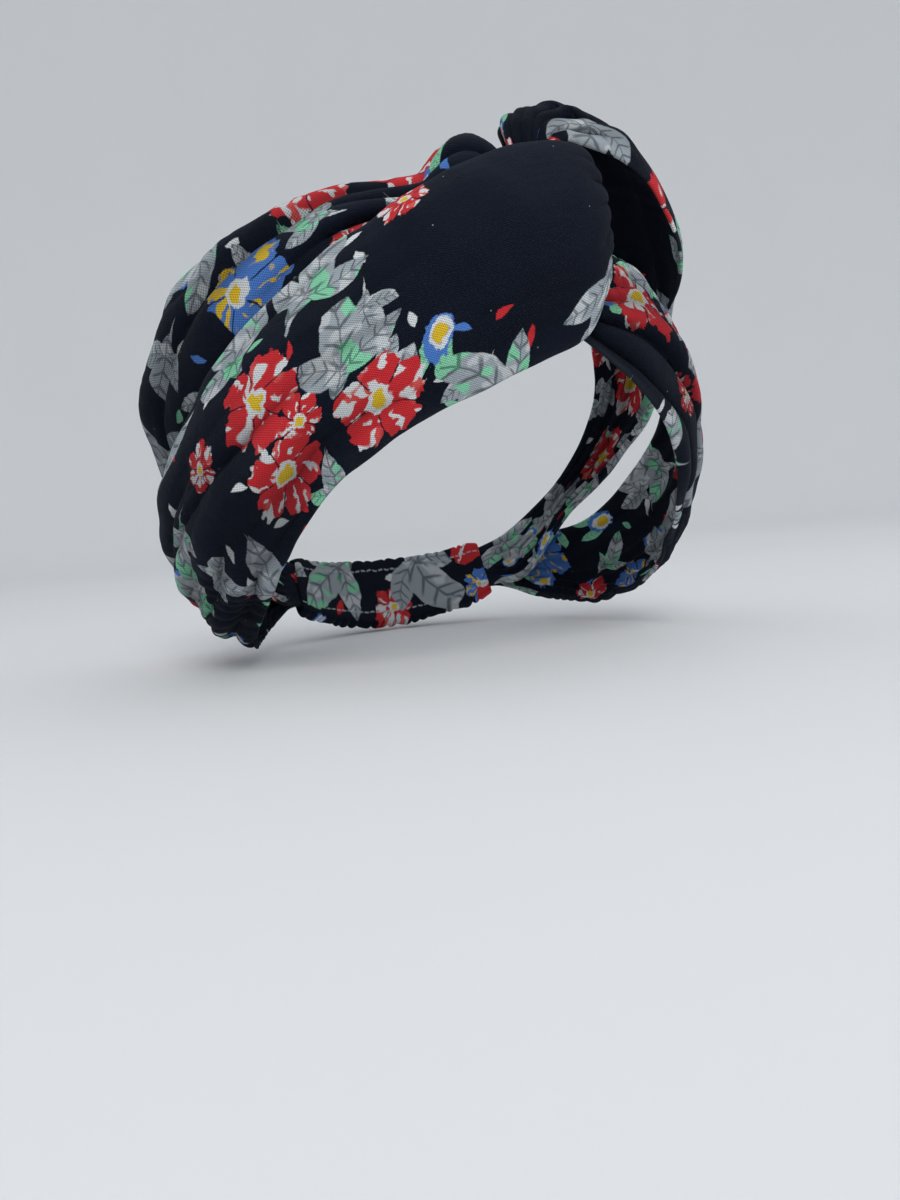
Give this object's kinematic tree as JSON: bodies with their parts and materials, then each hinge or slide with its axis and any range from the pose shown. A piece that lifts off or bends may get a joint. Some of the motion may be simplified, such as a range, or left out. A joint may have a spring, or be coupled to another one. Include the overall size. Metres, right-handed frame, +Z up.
{
  "type": "turban headband",
  "caption": "Wide cotton turban headband in its worn shape: two strips hook round each other above the forehead and narrow to a gathered band at the nape.",
  "frame": {"origin": "The middle of the head that the band is worn on, inside the band", "axes": "+Z up, the face looks along -Y, +X is the wearer's left"},
  "size_m": [0.2148, 0.2035, 0.1917],
  "materials": {
    "printed_cotton_right": "matt navy cotton with a red, white, blue, green and yellow floral print",
    "printed_cotton_left": "matt navy cotton with the same floral print",
    "printed_cotton_nape": "gathered matt navy cotton with the same print"
  },
  "bodies": {
    "root": {"right_wrap": "printed_cotton_right", "left_wrap": "printed_cotton_left", "nape_band": "printed_cotton_nape"}
  },
  "joints": []
}
